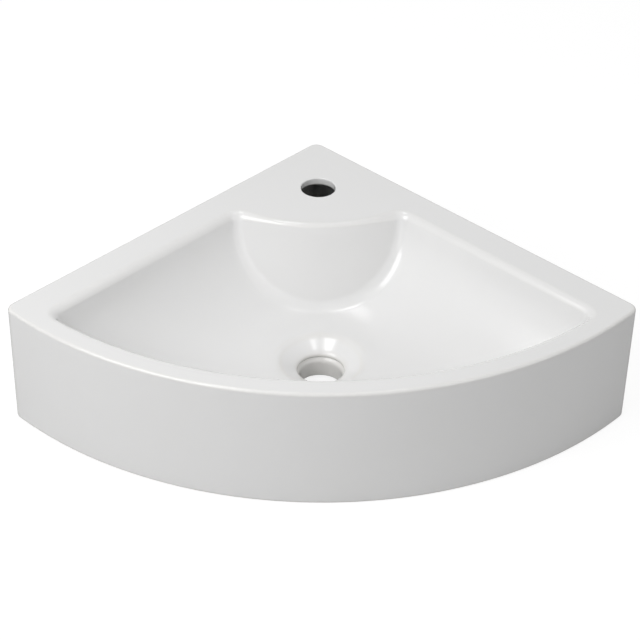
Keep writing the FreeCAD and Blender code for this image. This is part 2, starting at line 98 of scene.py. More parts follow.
def cut(piece: Piece, tool: Piece, keep: Cut = Cut.OUTSIDE) -> None:
    """Cut a piece with a closed tool, and throw the tool away.

    Args:
        piece: The object that is cut.
        tool: The closed shape that cuts it.
        keep: The part of the piece that stays.
    """
    activate(piece)
    cutter = piece.modifiers.new("cut", "BOOLEAN")
    cutter.operation = keep.value
    cutter.object = tool
    cutter.solver = "EXACT"
    bpy.ops.object.modifier_apply(modifier=cutter.name)
    bpy.data.objects.remove(tool, do_unlink=True)


def close_up() -> None:
    """Merge doubled corners of the mesh in edit mode, turn its faces outwards and leave the mode."""
    bpy.ops.mesh.select_all(action="SELECT")
    bpy.ops.mesh.remove_doubles(threshold=1e-6)
    bpy.ops.mesh.normals_make_consistent(inside=False)
    bpy.ops.object.mode_set(mode="OBJECT")


def dress(piece: Piece, material: Material, sharp: float) -> None:
    """Give a piece its material and smooth shading.

    Args:
        piece: The piece.
        material: Its only material.
        sharp: Angle in degrees from which an edge stays sharp.
    """
    piece.data.materials.clear()
    piece.data.materials.append(material)
    activate(piece)
    bpy.ops.object.shade_smooth_by_angle(angle=math.radians(sharp))


def turned(name: str, section: Section, steps: int, hollow: bool = False) -> Piece:
    """Turn a section round +Z, ring by ring, as on a lathe.

    Args:
        name: Name of the new object.
        section: Radius and height of each ring in millimetres, in order.
        steps: Number of corners in each ring.
        hollow: True to join the last ring to the first, False to close both ends.

    Returns:
        The new object, with its faces outwards.
    """
    clear_selection()
    radius, height = section[0]
    bpy.ops.mesh.primitive_circle_add(vertices=steps, radius=radius * MM, fill_type="NOTHING",
                                      location=(0, 0, 0))
    piece = bpy.context.object
    piece.name = piece.data.name = name
    bpy.ops.object.mode_set(mode="EDIT")
    bpy.ops.mesh.select_all(action="SELECT")
    bpy.ops.transform.translate(value=(0, 0, height * MM))
    if not hollow:
        bpy.ops.mesh.edge_face_add()
    for wide, high in section[1:] + (section[:1] if hollow else []):
        if hollow:
            bpy.ops.mesh.extrude_edges_move()
        else:
            bpy.ops.mesh.extrude_region_move()
        scale = wide / radius
        bpy.ops.transform.resize(value=(scale, scale, 1), center_override=(0, 0, 0))
        bpy.ops.transform.translate(value=(0, 0, (high - height) * MM))
        radius, height = wide, high
    close_up()
    return piece


def arc(centre: tuple[float, float], radius: float, start: float, stop: float,
        parts: int) -> Section:
    """Points of an arc in a section.

    Args:
        centre: Radius and height of the arc's centre.
        radius: The arc's own radius.
        start: First direction in degrees.
        stop: Last direction in degrees.
        parts: Number of straight parts.

    Returns:
        The points from start to stop, both ends included.
    """
    turns = [math.radians(start + (stop - start) * n / parts) for n in range(parts + 1)]
    return [(centre[0] + radius * math.cos(t), centre[1] + radius * math.sin(t)) for t in turns]


# --- finishes ---


class Wiring:
    """Short ways to place and join nodes in one shader tree."""

    def __init__(self, tree: bpy.types.NodeTree) -> None:
        """Start on a tree.

        Args:
            tree: The node tree to fill.
        """
        self.tree = tree

    def node(self, kind: str, values: Optional[dict] = None, **settings) -> bpy.types.Node:
        """Add a node.

        Args:
            kind: The node's type name.
            values: Inputs by name or number, each a constant or an output socket.
            settings: Properties of the node itself.

        Returns:
            The new node.
        """
        made = self.tree.nodes.new(kind)
        for key, value in settings.items():
            setattr(made, key, value)
        return self.feed(made, values or {})

    def feed(self, node: bpy.types.Node, values: dict) -> bpy.types.Node:
        """Set inputs of a node.

        Args:
            node: The node.
            values: Inputs by name or number, each a constant or an output socket.

        Returns:
            The same node.
        """
        for key, value in values.items():
            if isinstance(value, Socket):
                self.tree.links.new(value, node.inputs[key])
            else:
                node.inputs[key].default_value = value
        return node

    def math(self, operation: str, *terms, clamp: bool = False) -> Socket:
        """Value of a math node on one to three terms."""
        return self.node("ShaderNodeMath", dict(enumerate(terms)), operation=operation,
                         use_clamp=clamp).outputs[0]

    def ease(self, value, low: float, high: float) -> Socket:
        """A smooth step of a value, 0 at low and 1 at high."""
        made = self.node("ShaderNodeMapRange", {"Value": value, "From Min": low, "From Max": high},
                         interpolation_type="SMOOTHSTEP")
        return made.outputs["Result"]

    def blend(self, share, first, second) -> Socket:
        """A colour between two, by a share."""
        made = self.node("ShaderNodeMix", {0: share, 6: first, 7: second}, data_type="RGBA")
        return made.outputs[2]

    def between(self, share, first, second) -> Socket:
        """A number between two, by a share."""
        made = self.node("ShaderNodeMix", {0: share, 2: first, 3: second}, data_type="FLOAT")
        return made.outputs[0]

    def noise(self, scale, detail: float, rough: float = 0.5) -> Socket:
        """Cloudy noise over the piece, in its own metres."""
        point = self.node("ShaderNodeTexCoord").outputs["Object"]
        return self.node("ShaderNodeTexNoise", {"Vector": point, "Scale": scale, "Detail": detail,
                                                "Roughness": rough}).outputs[0]


class Effects:
    """Node groups that more than one finish uses."""

    def __init__(self) -> None:
        """Build both groups once."""
        self.tone = self._tone()
        self.relief = self._relief()

    @staticmethod
    def _open(name: str, inputs: Sequence[tuple], outputs: Sequence[tuple]) -> tuple:
        """Start a group.

        Args:
            name: The group's name.
            inputs: Name, socket type and default of each input.
            outputs: Name and socket type of each output.

        Returns:
            The tree, its wiring, its input node's outputs and its output node.
        """
        tree = bpy.data.node_groups.new(name, "ShaderNodeTree")
        for title, kind, default in inputs:
            tree.interface.new_socket(title, in_out="INPUT", socket_type=kind).default_value = default
        for title, kind in outputs:
            tree.interface.new_socket(title, in_out="OUTPUT", socket_type=kind)
        wiring = Wiring(tree)
        return (tree, wiring, wiring.node("NodeGroupInput").outputs,
                wiring.node("NodeGroupOutput"))

    def _tone(self) -> bpy.types.NodeTree:
        """Cloudy drift of a colour over the surface."""
        tree, w, given, result = self._open(
            "tone_drift",
            [("Color", "NodeSocketColor", (0.8, 0.8, 0.8, 1)),
             ("Shade", "NodeSocketColor", (0.7, 0.7, 0.7, 1)),
             ("Scale", "NodeSocketFloat", 20.0), ("Amount", "NodeSocketFloat", 0.5)],
            [("Color", "NodeSocketColor")])
        cloud = w.ease(w.noise(given["Scale"], 3.0, 0.55), 0.32, 0.7)
        share = w.math("MULTIPLY", cloud, given["Amount"], clamp=True)
        w.feed(result, {"Color": w.blend(share, given["Color"], given["Shade"])})
        return tree

    def _relief(self) -> bpy.types.NodeTree:
        """Long ripples and fine grain as one height."""
        tree, w, given, result = self._open(
            "skin_relief",
            [("Long", "NodeSocketFloat", 15.0), ("Fine", "NodeSocketFloat", 600.0),
             ("Fine share", "NodeSocketFloat", 0.02)],
            [("Height", "NodeSocketFloat")])
        long, fine = w.noise(given["Long"], 1.0, 0.4), w.noise(given["Fine"], 2.0)
        w.feed(result, {"Height": w.math("MULTIPLY_ADD", fine, given["Fine share"], long)})
        return tree


@dataclass(frozen=True)
class Finish:
    """What every finish sets on its shader."""

    title: str
    color: tuple[float, float, float]
    shade: tuple[float, float, float]
    drift: float = 30.0
    amount: float = 0.4
    roughness: float = 0.4
    swing: float = 0.06
    long: float = 15.0
    fine: float = 600.0
    fine_share: float = 0.02
    bump: float = 0.1
    reach: float = 0.0005

    def _open(self, effects: Effects) -> tuple[Material, Wiring, bpy.types.Node, Socket, Socket]:
        """Start the material.

        Args:
            effects: The shared node groups.

        Returns:
            The material, its wiring, its shader, the drifting colour and the drifting roughness.
        """
        made = bpy.data.materials.new(self.title)
        made.use_nodes = True
        made.diffuse_color = (*self.color, 1)
        w = Wiring(made.node_tree)
        shader = made.node_tree.nodes["Principled BSDF"]
        tone = w.node("ShaderNodeGroup", {"Color": (*self.color, 1), "Shade": (*self.shade, 1),
                                          "Scale": self.drift, "Amount": self.amount},
                      node_tree=effects.tone)
        relief = w.node("ShaderNodeGroup", {"Long": self.long, "Fine": self.fine,
                                            "Fine share": self.fine_share},
                        node_tree=effects.relief)
        bump = w.node("ShaderNodeBump", {"Strength": self.bump, "Distance": self.reach,
                                         "Height": relief.outputs["Height"]})
        w.feed(shader, {"Normal": bump.outputs["Normal"]})
        smear = w.noise(self.drift * 2.3, 2.0)
        rough = w.node("ShaderNodeMapRange", {"Value": smear, "From Min": 0.3, "From Max": 0.7,
                                              "To Min": self.roughness - self.swing,
                                              "To Max": self.roughness + self.swing}).outputs[0]
        return made, w, shader, tone.outputs["Color"], rough


@dataclass(frozen=True)
class Glaze(Finish):
    """White glaze over fired clay, left bare where the casting beds on a wall or the kiln shelf."""

    bare: tuple[float, float, float] = (0.80, 0.77, 0.71)
    thin: tuple[float, float, float] = (0.83, 0.815, 0.785)
    bare_roughness: float = 0.62
    coat_roughness: float = 0.13
    ior: float = 1.45

    def material(self, effects: Effects) -> Material:
        """Build the glaze.

        Args:
            effects: The shared node groups.

        Returns:
            The material.
        """
        made, w, shader, color, rough = self._open(effects)
        edge = w.node("ShaderNodeAttribute", attribute_name="glaze_thin").outputs["Fac"]
        bare = w.node("ShaderNodeAttribute", attribute_name="bare_clay").outputs["Fac"]
        clay = w.blend(w.ease(w.noise(900.0, 2.0), 0.45, 0.75), (*self.bare, 1),
                       tuple(0.9 * part for part in self.bare) + (1,))
        glazed = w.blend(w.math("MULTIPLY", edge, 0.6), color, (*self.thin, 1))
        w.feed(shader, {"Base Color": w.blend(bare, glazed, clay),
                        "Roughness": w.between(bare, rough, self.bare_roughness),
                        "Coat Weight": w.math("SUBTRACT", 1.0, bare, clamp=True),
                        "Coat Roughness": self.coat_roughness,
                        "Coat IOR": self.ior, "IOR": self.ior})
        return made


@dataclass(frozen=True)
class Plain(Finish):
    """A finish that is the same all over: moulded nylon, or plated steel when it is metallic."""

    metallic: float = 0.0

    def material(self, effects: Effects) -> Material:
        """Build the finish."""
        made, w, shader, color, rough = self._open(effects)
        w.feed(shader, {"Base Color": color, "Roughness": rough, "Metallic": self.metallic,
                        "IOR": 1.5})
        return made


# --- the casting ---


def meet(a: Array, b: Array, soft) -> Array:
    """Depth inside two hollows at once, with a rounded valley.

    Args:
        a: Depth inside the first hollow.
        b: Depth inside the second hollow.
        soft: Radius of the valley.

    Returns:
        Depth inside both.
    """
    return np.maximum(soft, np.minimum(a, b)) - np.hypot(np.maximum(soft - a, 0),
                                                        np.maximum(soft - b, 0))


def join(a: Array, b: Array, soft) -> Array:
    """Depth inside either hollow, with a rounded ridge of that radius between them."""
    return -meet(-a, -b, soft)


def rise(value: Array, low: float, high: float) -> Array:
    """A smooth step, 0 at low and 1 at high."""
    part = np.clip((value - low) / (high - low), 0, 1)
    return part * part * (3 - 2 * part)


def off_walls(x: Array, y: Array) -> tuple[Array, Array]:
    """Distance off the left and the right wall."""
    return (x - y) / math.sqrt(2), (-x - y) / math.sqrt(2)


@dataclass
class Casting:
    """The china body: skirt, rim, tap deck, apron, bowl, drain and the hollow underneath.

    Lengths are in millimetres and angles in degrees; deck_turn, draft and fall are in radians.
    """

    wall_edge: float = 420.0
    front_radius: float = 400.0
    height: float = 127.0
    apex_round: float = 10.0
    side_round: float = 10.0
    edge_round: float = 3.0
    foot_round: float = 2.0
    back_wall: float = 11.0
    skirt_wall: float = 9.0
    deck_wall: float = 9.0
    bowl_wall: float = 9.0
    deck_radius: float = 158.0
    apron_lean: float = 16.7
    tap_reach: float = 90.0
    tap_bore: float = 35.0
    tap_round: float = 1.3
    tap_break: float = 3.2
    tap_arc: tuple[int, int] = (12, 7)
    tap_run: tuple[float, float] = (3.8, 1.24)
    bowl_depth: float = 86.0
    slope_radius: float = 103.0
    slope_foot: float = 139.0
    floor_fall: float = 3.0
    front_rim: float = 24.0
    front_draft: float = 10.0
    cove_radius: float = 45.0
    crease_round: float = 8.0
    crease_low: float = 9.5
    tip_round: float = 12.0
    foot_soft: float = 2.0
    above_floor: float = 4.0
    tip_span: float = 30.0
    crease_span: float = 50.0
    lip_round: float = 7.0
    deck_lip: float = 4.0
    deck_turn: tuple[float, float] = (0.3, 0.52)
    deck_fade: tuple[float, float] = (8.0, 40.0)
    drain_reach: float = 266.0
    waste_bore: float = 45.0
    waste_lip: float = 3.0
    recess_radius: float = 38.0
    recess_depth: float = 6.5
    recess_soft: float = 1.6
    dish_margin: float = 12.0
    throat_length: float = 27.0
    seam_depth: float = 5.8
    seam_reach: float = 1.4
    seam_groove: float = 1.6
    seat_depth: tuple[float, float] = (6.0, 11.0)
    seat_rise: float = 1.3
    boss_wall: float = 12.0
    boss_flare: float = 9.0
    fixing_reach: float = 205.0
    fixing_drop: float = 78.0
    fixing_bore: float = 16.0
    pad_diameter: float = 42.0
    pad_rise: float = 3.0
    pad_edge: float = 1.5
    pad_soft: float = 3.0
    hollow_soft: float = 5.0
    edge_reach: float = 1.2
    edge_gain: float = 2.2
    rays: int = 380
    rings: tuple[int, ...] = (18, 92, 14, 8, 9, 14, 24, 42, 14)
    bend_share: float = 0.35
    start_share: float = 0.6
    step: float = 0.7
    most_steps: int = 2600
    samples: int = 14400
    rim_gap: float = 4.9
    rim_turn: float = 6.0
    bowl_gap: float = 3.4
    bowl_turn: float = 7.0
    draft: float = field(init=False)
    fall: float = field(init=False)
    front_centre: float = field(init=False)
    low_point: float = field(init=False)

    def __post_init__(self) -> None:
        """Work out what follows from the sizes: two angles in radians and three places."""
        self.draft, self.fall = math.radians(self.front_draft), math.radians(self.floor_fall)
        half = self.wall_edge / math.sqrt(2)
        self.front_centre = -half + math.sqrt(self.front_radius ** 2 - half ** 2)
        self.low_point = (self.height - self.bowl_depth
                          - (self.drain_reach / math.sqrt(2) - self.slope_foot) * math.tan(self.fall))
        self._cove = self._place_cove()

    def _place_cove(self) -> tuple[float, float]:
        """Centre of the cove, as distance from the front's centre and height.

        Returns:
            The centre that is one cove radius from both the front wall and the floor.
        """
        wall = np.array([-math.cos(self.draft), math.sin(self.draft)])
        floor = np.array([-math.sin(self.fall), math.cos(self.fall)])
        on_wall = np.array([self.front_radius - self.front_rim, self.height])
        on_floor = np.array([self.drain_reach + self.front_centre, self.low_point])
        reach = self.cove_radius + np.array([wall @ on_wall, floor @ on_floor])
        out, up = np.linalg.solve(np.array([wall, floor]), reach)
        return float(out), float(up)

    # --- the shape as depth of air: above zero in the open, below zero in the china ---

    def _outline(self, x: Array, y: Array) -> Array:
        """Distance inside the plan outline."""
        front = self.front_radius - np.hypot(x, y - self.front_centre)
        return meet(meet(*off_walls(x, y), self.apex_round), front, self.side_round)

    def _slope(self, off_wall: Array, z: Array) -> Array:
        """Depth inside one hollow side of the bowl."""
        radius, foot, fall = self.slope_radius, self.slope_foot, self.fall
        top = self.height - self.bowl_depth + radius
        across, down = foot - off_wall, top - z
        curved = radius - np.hypot(np.maximum(across, 0), np.maximum(down, 0))
        flat = (z - (top - radius * math.cos(fall)
                     - (off_wall - foot + radius * math.sin(fall)) * math.tan(fall))) * math.cos(fall)
        past = across < down * math.tan(fall)
        return np.where(past, flat, curved)

    def _front(self, x: Array, y: Array, z: Array) -> Array:
        """Depth inside the bowl's front wall, cove and floor."""
        draft, fall = self.draft, self.fall
        out = np.hypot(x, y - self.front_centre)
        wall = ((self.front_radius - self.front_rim - out) * math.cos(draft)
                + (z - self.height) * math.sin(draft))
        floor = ((z - self.low_point) * math.cos(fall)
                 - (out - self.drain_reach - self.front_centre) * math.sin(fall))
        over, under = out - self._cove[0], self._cove[1] - z
        facing = np.arctan2(under, over)
        bend = (facing > draft) & (facing < math.pi / 2 - fall)
        return np.where(bend, self.cove_radius - np.hypot(over, under), np.minimum(wall, floor))

    def _apron(self, x: Array, y: Array, z: Array) -> Array:
        """Depth in front of the apron that falls from the tap deck."""
        lean = math.radians(self.apron_lean)
        return ((np.hypot(x, y) - self.deck_radius) * math.cos(lean)
                - (self.height - z) * math.sin(lean))

    def _bowl(self, x: Array, y: Array, z: Array) -> Array:
        """Depth inside the bowl."""
        left, right = (self._slope(off_wall, z) for off_wall in off_walls(x, y))
        low = self.height - self.bowl_depth + self.above_floor
        tip_growth = (self.tip_round - self.foot_soft) * rise(z, low, low + self.tip_span)
        sides = meet(meet(left, right, self.foot_soft), self._front(x, y, z),
                     self.foot_soft + tip_growth)
        growth = (self.crease_round - self.crease_low) * rise(z, low, low + self.crease_span)
        return meet(sides, self._apron(x, y, z), self.crease_low + growth)

    def _throat(self, z: Array) -> Array:
        """Radius of the waste bore at a height, with its moulded seam and the seat below it."""
        down = self.low_point - self.recess_depth - z
        seam = self.seam_groove * np.exp(-((down - self.seam_depth) / self.seam_reach) ** 2)
        return self.waste_bore / 2 + seam - self.seat_rise * rise(down, *self.seat_depth)

    def _drain(self, x: Array, y: Array, z: Array) -> Array:
        """Depth inside the recess and bore of the waste."""
        out = np.hypot(x, y + self.drain_reach)
        across = self.recess_radius - self.waste_bore / 2 - self.waste_lip
        down = self.recess_depth + self.waste_lip
        lean = math.atan2(down, across) - math.asin(self.waste_lip / math.hypot(across, down))
        dish = ((z - self.low_point) * math.cos(lean)
                - (out - self.recess_radius) * math.sin(lean))
        dish = np.minimum(dish, self.recess_radius + self.dish_margin - out)
        return join(dish, self._throat(z) - out, self.waste_lip)

    def _hollow(self, x: Array, y: Array, z: Array) -> Array:
        """Depth inside the open underside."""
        soft = self.hollow_soft
        left, right = off_walls(x, y)
        walls = meet(meet(left - self.back_wall, right - self.back_wall, soft),
                     self.front_radius - self.skirt_wall - np.hypot(x, y - self.front_centre), soft)
        for off, along in ((left, right), (right, left)):
            round_pad = np.hypot(along - self.fixing_reach,
                                 z - (self.height - self.fixing_drop)) - self.pad_diameter / 2
            pad = join(round_pad, off - self.back_wall - self.pad_rise, self.pad_edge)
            walls = meet(walls, pad, self.pad_soft)
        roof = self.height - self.deck_wall - z
        shell = -self._bowl(x, y, z) - self.bowl_wall
        bottom = self.low_point - self.recess_depth - self.throat_length
        tall = self.recess_depth + self.throat_length
        lean = math.atan2(self.boss_flare, tall)
        cone = ((np.hypot(x, y + self.drain_reach) - self.waste_bore / 2 - self.boss_wall)
                * math.cos(lean) - (z - bottom) * math.sin(lean))
        boss = join(cone, bottom - z, self.pad_edge)
        return meet(meet(meet(walls, roof, soft), shell, soft), boss, soft)

    def air(self, x: Array, y: Array, z: Array) -> Array:
        """Depth of air over the whole casting.

        Args:
            x: Millimetres to the right of the corner.
            y: Millimetres from the corner, below zero in the room.
            z: Millimetres above the bottom rim.

        Returns:
            Depth above zero in the open and below zero in the china.
        """
        turn, off_deck = np.abs(np.arctan2(x, -y)), np.hypot(x, y) - self.deck_radius
        deck = (1 - rise(turn, *self.deck_turn)) * (1 - rise(off_deck, *self.deck_fade))
        top = join(join(self._bowl(x, y, z), self._drain(x, y, z), self.recess_soft),
                   z - self.height, self.lip_round + (self.deck_lip - self.lip_round) * deck)
        outer = join(top, -self._outline(x, y), self.edge_round)
        return join(outer, join(self._hollow(x, y, z), -z, self.foot_round), self.foot_round)

    # --- rays and rings ---

    def _headings(self) -> Array:
        """Directions of the rays round the waste hole, closest where the plan turns quickly.

        Returns:
            One angle in radians for each ray, in order.
        """
        edges = np.linspace(-math.pi, math.pi, self.samples + 1)
        fine = edges[:-1] + math.pi / self.samples
        cos, sin = np.cos(fine), np.sin(fine)
        density = np.zeros_like(fine)
        below_lip = np.full_like(fine, self.height - 5)
        for inside, gap, bend in (
                (self._outline, self.rim_gap, self.rim_turn),
                (lambda x, y: self._bowl(x, y, below_lip), self.bowl_gap, self.bowl_turn)):
            # halve the span between inside and outside until it closes on the edge
            low, high = np.full_like(fine, 60.0), np.full_like(fine, self.wall_edge)
            for _ in range(40):
                mid = (low + high) / 2
                within = inside(mid * cos, mid * sin - self.drain_reach) > 0
                low, high = np.where(within, mid, low), np.where(within, high, mid)
            x, y = low * cos, low * sin
            dx, dy = np.roll(x, -1) - np.roll(x, 1), np.roll(y, -1) - np.roll(y, 1)
            run = np.hypot(dx, dy) / 2
            facing = np.unwrap(np.arctan2(dy, dx))
            reach = 40
            turn = np.abs(np.roll(facing, -reach) - np.roll(facing, reach)) / (2 * reach)
            density = np.maximum(density, run / gap + np.minimum(turn, 0.05) * bend)
        reach = 30
        padded = np.concatenate([density[-reach:], density, density[:reach]])
        density = np.convolve(padded, np.ones(2 * reach + 1) / (2 * reach + 1), mode="valid")
        total = np.concatenate([[0], np.cumsum(density)])
        log.info("rays at full density: %.0f, laid: %d", total[-1], self.rays)
        wanted = (np.arange(self.rays) + 0.5) / self.rays * total[-1]
        return np.interp(wanted, total, edges)

    def _depth(self, r: Array, z: Array, heading: Array) -> Array:
        """Depth of air at a radius and height on a ray."""
        return self.air(r * np.cos(heading), r * np.sin(heading) - self.drain_reach, z)

    def _lean(self, r: Array, z: Array, heading: Array) -> tuple[Array, Array]:
        """How fast the depth of air grows outwards and upwards on a ray."""
        across = self._depth(r + NEAR, z, heading) - self._depth(r - NEAR, z, heading)
        up = self._depth(r, z + NEAR, heading) - self._depth(r, z - NEAR, heading)
        return across / (2 * NEAR), up / (2 * NEAR)

    def _pull(self, r: Array, z: Array, heading: Array, least: float) -> tuple[Array, Array]:
        """Move points along their slope onto the surface.

        Args:
            r: Radius of each point.
            z: Height of each point.
            heading: Direction of each point's ray.
            least: Smallest square of a slope that counts, so that no point is thrown far off.

        Returns:
            The new radii and heights.
        """
        across, up = self._lean(r, z, heading)
        share = self._depth(r, z, heading) / np.maximum(across ** 2 + up ** 2, least)
        return r - across * share, z - up * share

    def _walk(self, heading: Array) -> tuple[Array, Array]:
        """Follow the china's section on every ray, from inside the bore once round.

        Args:
            heading: Direction of each ray.

        Returns:
            Radius and height of every step, one column for each ray.
        """
        start = self.low_point - self.recess_depth - self.start_share * self.throat_length
        z = np.full_like(heading, start)
        r = self._throat(z)
        path_r, path_z = [r], [z]
        been_low = np.zeros(len(heading), bool)
        done = np.zeros(len(heading), bool)
        while not done.all() and len(path_r) < self.most_steps:
            across, up = self._lean(r, z, heading)
            size = np.hypot(across, up)
            r, z = r + up / size * self.step, z - across / size * self.step
            for _ in range(2):
                r, z = self._pull(r, z, heading, 0.1)
            path_r.append(r)
            path_z.append(z)
            been_low |= z < 1
            done |= been_low & (r < self.waste_bore / 2 + 0.5) & (z > start)
        return np.array(path_r), np.array(path_z)

    def _spread(self, r: Array, z: Array, count: int) -> tuple[Array, Array]:
        """Lay points along one run of a section, closer where it bends.

        Args:
            r: Radii of the run.
            z: Heights of the run.
            count: Number of points wanted, without the last.

        Returns:
            Radii and heights of the points.
        """
        run = np.hypot(np.diff(r), np.diff(z))
        facing = np.unwrap(np.arctan2(np.diff(z), np.diff(r)))
        bend = np.abs(np.gradient(facing)) if len(facing) > 2 else np.zeros_like(run)
        width = 7
        bend = np.convolve(np.pad(bend, width // 2, mode="edge"), np.ones(width) / width, "valid")
        load = run / run.sum() + self.bend_share * bend / (math.pi / 2)
        total = np.concatenate([[0], np.cumsum(load)])
        wanted = np.arange(count) / count * total[-1]
        return np.interp(wanted, total, r), np.interp(wanted, total, z)

    def _lay(self, heading: Array) -> tuple[Array, Array]:
        """Rings on every ray, split at the same landmarks so that they follow the form.

        Args:
            heading: Direction of each ray.

        Returns:
            Radius and height, one row for each ray and one column for each ring.
        """
        path_r, path_z = self._walk(heading)
        insets = self._outline(path_r * np.cos(heading), path_r * np.sin(heading) - self.drain_reach)
        rows_r, rows_z = [], []
        for r, z, inset in zip(path_r.T, path_z.T, insets.T):
            # each landmark lies a little past the edge or the fillet that it is named by
            tests = [r >= self.recess_radius + 7,
                     z >= self.height - 0.01,
                     inset <= self.edge_round + 0.6,
                     z <= self.height - self.edge_round - 1.0,
                     z <= self.foot_round + 1.5,
                     (z >= self.foot_round + 1.5) & (inset > self.foot_round + 1),
                     z >= self.height - self.deck_wall - self.hollow_soft - 1,
                     r <= self.waste_bore / 2 + self.boss_wall + self.boss_flare + 7,
                     (r <= self.waste_bore / 2 + 0.3) & (z >= z[0] - 0.4)]
            marks = [0]
            for test in tests:
                hits = np.flatnonzero(test[marks[-1] + 1:])
                marks.append(marks[-1] + 1 + int(hits[0]))
            parts = [self._spread(r[a:b + 1], z[a:b + 1], count)
                     for a, b, count in zip(marks, marks[1:], self.rings)]
            rows_r.append(np.concatenate([part[0] for part in parts]))
            rows_z.append(np.concatenate([part[1] for part in parts]))
        r, z = np.array(rows_r), np.array(rows_z)
        for _ in range(4):
            r, z = self._pull(r, z, heading[:, None], 0.25)
        return r, z

    def _skin(self) -> Piece:
        """Wrap a grid round the casting, one row for each ray, and close both seams.

        Returns:
            The closed casting without its drilled holes.
        """
        heading = self._headings()
        r, z = self._lay(heading)
        rays, rings = r.shape
        clear_selection()
        bpy.ops.mesh.primitive_grid_add(x_subdivisions=rings, y_subdivisions=rays, size=1,
                                        location=(0, 0, 0))
        piece = bpy.context.object
        piece.name = piece.data.name = "glazed_basin"
        r, z = (np.pad(part, ((0, 1), (0, 1)), mode="wrap") for part in (r, z))
        turn = np.append(heading, heading[0])[:, None]
        spots = np.stack([r * np.cos(turn), r * np.sin(turn) - self.drain_reach + CORNER_Y, z],
                         axis=-1) * MM
        piece.data.vertices.foreach_set("co", spots.reshape(-1).astype(np.float32))
        piece.data.update()
        bpy.ops.object.mode_set(mode="EDIT")
        close_up()
        return piece

    def _lip(self, soft: float) -> Section:
        """Cutter's section over a rounded edge of the tap hole, with heights from the surface."""
        radius = self.tap_bore / 2
        turn, count = self.tap_arc
        edge = [(radius + soft - soft * math.cos(t), soft * math.sin(t) - soft)
                for t in (math.radians(turn * n) for n in range(count))]
        out, up = edge[-1][0] + self.tap_run[0], edge[-1][1] + self.tap_run[1]
        return edge + [(out, up), (out, 5.0)]

    def _drill(self, piece: Piece) -> None:
        """Cut the tap hole and both fixing holes.

        Args:
            piece: The closed casting.
        """
        above, below = self._lip(self.tap_round), self._lip(self.tap_break)
        under = self.height - self.deck_wall
        tool = turned("tap_cutter", [(out, under - up) for out, up in reversed(below)]
                      + [(out, self.height + up) for out, up in above], 72)
        tool.location = (0, (CORNER_Y - self.tap_reach) * MM, 0)
        settle(tool)
        cut(piece, tool)
        for side in Side:
            radius = self.fixing_bore / 2
            tool = turned("fixing_cutter", [(radius, -20), (radius, 40)], 48)
            tool.matrix_world = wall_place(side, self.fixing_reach, self.height - self.fixing_drop)
            settle(tool)
            cut(piece, tool)

    def _mark(self, piece: Piece) -> None:
        """Note on each corner of the mesh how thin the glaze is and where the clay is bare.

        Args:
            piece: The finished casting.
        """
        count = len(piece.data.vertices)
        spots = np.empty(count * 3, np.float32)
        piece.data.vertices.foreach_get("co", spots)
        x, y, z = (spots.reshape(-1, 3) / MM).astype(float).T
        y = y - CORNER_Y
        here, steps = np.stack([x, y, z]), self.edge_reach * np.vstack([np.eye(3), -np.eye(3)])
        around = sum(self.air(*(here + step[:, None])) for step in steps)
        curve = (around - len(steps) * self.air(x, y, z)) / self.edge_reach ** 2
        off_bore = np.hypot(x, y + self.drain_reach) - self._throat(z)
        in_bore = (1 - rise(off_bore, 0.5, 4.0)) * (z < self.low_point)
        thin = np.clip(np.maximum(curve * self.edge_gain, in_bore), 0, 1)
        bed = 1 - rise(np.minimum(*off_walls(x, y)), 0.1, 1.2)
        foot = 1 - rise(z, 0.3, 1.6)
        for title, values in (("glaze_thin", thin), ("bare_clay", np.maximum(bed, foot))):
            layer = piece.data.attributes.new(title, "FLOAT", "POINT")
            layer.data.foreach_set("value", values.astype(np.float32))

    def build(self, material: Material) -> None:
        """Model and dress the casting.

        Args:
            material: The glaze.
        """
        piece = self._skin()
        self._drill(piece)
        self._mark(piece)
        dress(piece, material, 38)
        weigh = piece.modifiers.new("even_shading", "WEIGHTED_NORMAL")
        weigh.keep_sharp = True
        bpy.ops.object.modifier_apply(modifier=weigh.name)
        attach(piece, "root")
        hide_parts("basin_body")
        log.info("%s: %d faces", piece.name, len(piece.data.polygons))


def wall_place(side: Side, reach: float, height: float) -> Matrix:
    """Frame of a fixing: origin on the wall face, +Z into the room and +X up.

    Args:
        side: The wall.
        reach: Millimetres from the corner along the wall.
        height: Millimetres above the bottom rim.

    Returns:
        The frame, in the row's metres.
    """
    along = reach / math.sqrt(2)
    out = Vector((-side.value, -1, 0)).normalized()
    up = Vector((0, 0, 1))
    across = out.cross(up)
    made = Matrix((up, across, out)).transposed().to_4x4()
    made.translation = Vector((side.value * along, CORNER_Y - along, height)) * MM
    return made


# --- wall fixings ---


